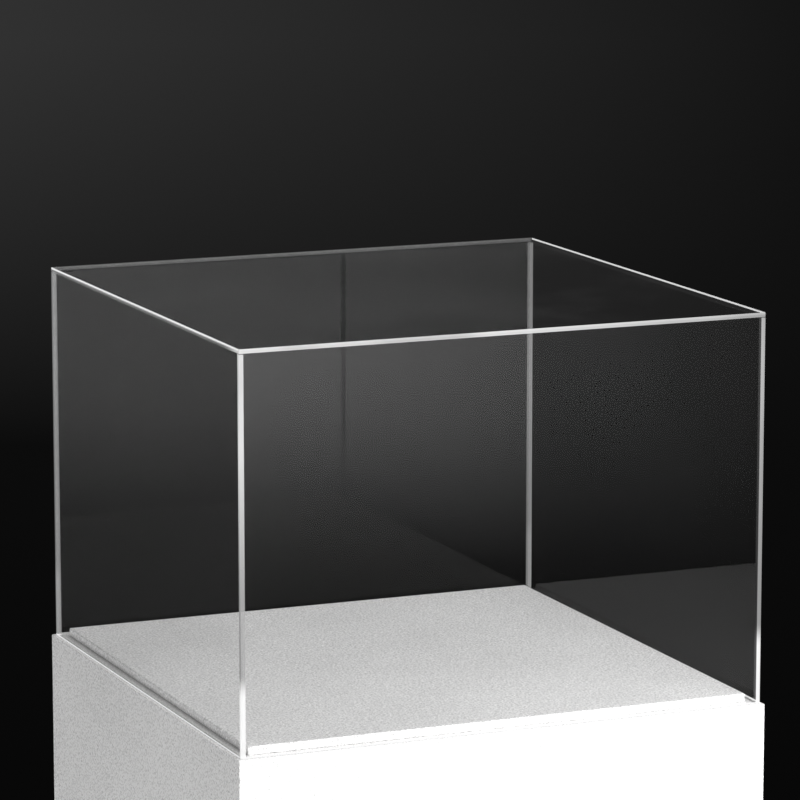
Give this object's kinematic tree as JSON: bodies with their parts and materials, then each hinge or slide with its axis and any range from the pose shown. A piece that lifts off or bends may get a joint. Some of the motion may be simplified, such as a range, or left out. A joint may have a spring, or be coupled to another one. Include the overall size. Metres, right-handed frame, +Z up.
{
  "type": "display case",
  "caption": "Clear acrylic box cover with polished edges that lifts off a square white plinth with a raised deck inside the cover and levelling feet.",
  "frame": {"origin": "on the floor under the middle of the plinth", "axes": "+Z up, -Y towards the viewer of the front, +X to that viewer's right"},
  "size_m": [0.507, 0.507, 0.9575],
  "materials": {
    "clear_acrylic": "polished",
    "white_lacquer": "satin",
    "deck_lacquer": "satin",
    "raw_board": "matte",
    "softwood": "matte",
    "zinc_steel": "satin",
    "black_nylon": "matte"
  },
  "bodies": {
    "root": {"display_deck": "deck_lacquer", "plinth_top_board": "raw_board", "plinth_front_panel": "white_lacquer", "plinth_back_panel": "white_lacquer", "plinth_left_panel": "white_lacquer", "plinth_right_panel": "white_lacquer", "plinth_bottom_board": "raw_board", "top_cleat_front": "softwood", "cleat_screw_front_1": "zinc_steel", "cleat_screw_front_2": "zinc_steel", "top_cleat_back": "softwood", "cleat_screw_back_1": "zinc_steel", "cleat_screw_back_2": "zinc_steel", "top_cleat_left": "softwood", "cleat_screw_left_1": "zinc_steel", "cleat_screw_left_2": "zinc_steel", "top_cleat_right": "softwood", "cleat_screw_right_1": "zinc_steel", "cleat_screw_right_2": "zinc_steel", "corner_batten_front_left": "softwood", "base_screw_front_left": "zinc_steel", "deck_screw_front_left": "zinc_steel", "foot_insert_front_left": "zinc_steel", "corner_batten_front_right": "softwood", "base_screw_front_right": "zinc_steel", "deck_screw_front_right": "zinc_steel", "foot_insert_front_right": "zinc_steel", "corner_batten_back_right": "softwood", "base_screw_back_right": "zinc_steel", "deck_screw_back_right": "zinc_steel", "foot_insert_back_right": "zinc_steel", "corner_batten_back_left": "softwood", "base_screw_back_left": "zinc_steel", "deck_screw_back_left": "zinc_steel", "foot_insert_back_left": "zinc_steel"},
    "cover": {"cover_top_panel": "clear_acrylic", "cover_front_panel": "clear_acrylic", "cover_back_panel": "clear_acrylic", "cover_left_panel": "clear_acrylic", "cover_right_panel": "clear_acrylic"},
    "foot_front_left": {"foot_pad_front_left": "black_nylon"},
    "stem_front_left": {"foot_stem_front_left": "zinc_steel"},
    "foot_front_right": {"foot_pad_front_right": "black_nylon"},
    "stem_front_right": {"foot_stem_front_right": "zinc_steel"},
    "foot_back_right": {"foot_pad_back_right": "black_nylon"},
    "stem_back_right": {"foot_stem_back_right": "zinc_steel"},
    "foot_back_left": {"foot_pad_back_left": "black_nylon"},
    "stem_back_left": {"foot_stem_back_left": "zinc_steel"}
  },
  "joints": [
    {"name": "cover_lift", "type": "slide", "parent": "root", "child": "cover", "axis": [0, 0, 1], "range_m": [0, 0.36]},
    {"name": "foot_slide_front_left", "type": "slide", "parent": "root", "child": "foot_front_left", "axis": [0, 0, -1], "range_m": [0, 0.0126]},
    {"name": "foot_turn_front_left", "type": "hinge", "parent": "foot_front_left", "child": "stem_front_left", "pos_m": [-0.1853, -0.1853, 0], "axis": [0, 0, -1], "range_deg": [0, 3600]},
    {"name": "foot_slide_front_right", "type": "slide", "parent": "root", "child": "foot_front_right", "axis": [0, 0, -1], "range_m": [0, 0.0126]},
    {"name": "foot_turn_front_right", "type": "hinge", "parent": "foot_front_right", "child": "stem_front_right", "pos_m": [0.1853, -0.1853, 0], "axis": [0, 0, -1], "range_deg": [0, 3600]},
    {"name": "foot_slide_back_right", "type": "slide", "parent": "root", "child": "foot_back_right", "axis": [0, 0, -1], "range_m": [0, 0.0126]},
    {"name": "foot_turn_back_right", "type": "hinge", "parent": "foot_back_right", "child": "stem_back_right", "pos_m": [0.1853, 0.1853, 0], "axis": [0, 0, -1], "range_deg": [0, 3600]},
    {"name": "foot_slide_back_left", "type": "slide", "parent": "root", "child": "foot_back_left", "axis": [0, 0, -1], "range_m": [0, 0.0126]},
    {"name": "foot_turn_back_left", "type": "hinge", "parent": "foot_back_left", "child": "stem_back_left", "pos_m": [-0.1853, 0.1853, 0], "axis": [0, 0, -1], "range_deg": [0, 3600]}
  ],
  "couplings": [
    {"joint": "foot_slide_front_left", "follows": "foot_turn_front_left", "m_per_rad": 0.00019894},
    {"joint": "foot_slide_front_right", "follows": "foot_turn_front_right", "m_per_rad": 0.00019894},
    {"joint": "foot_slide_back_right", "follows": "foot_turn_back_right", "m_per_rad": 0.00019894},
    {"joint": "foot_slide_back_left", "follows": "foot_turn_back_left", "m_per_rad": 0.00019894}
  ]
}
